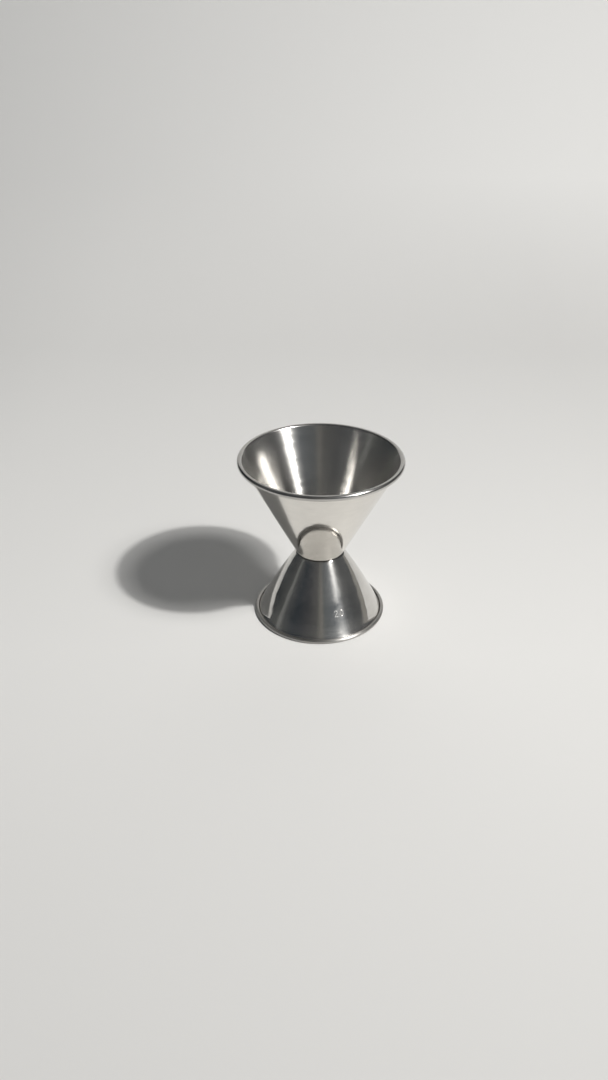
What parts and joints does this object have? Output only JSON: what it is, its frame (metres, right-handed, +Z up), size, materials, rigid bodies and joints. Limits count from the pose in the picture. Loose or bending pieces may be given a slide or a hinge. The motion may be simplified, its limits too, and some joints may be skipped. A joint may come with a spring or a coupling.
{
  "type": "cocktail jigger",
  "caption": "Double-ended steel measure: a large and a small conical cup joined floor to floor, with curled rims, standing on the small cup.",
  "frame": {"origin": "middle of the circle on which the small cup's rim stands", "axes": "+Z up along the axis of both cups, towards the mouth of the large cup; the part is round about Z, so X and Y are free"},
  "size_m": [0.0586, 0.0586, 0.063],
  "materials": {
    "large_cup_steel": "polished outside, spun brush lines inside",
    "small_cup_steel": "polished outside, spun brush lines inside",
    "weld_steel": "melted weld metal, dull"
  },
  "bodies": {
    "root": {"large_cup": "large_cup_steel", "small_cup": "small_cup_steel", "spot_weld": "weld_steel"}
  },
  "joints": []
}
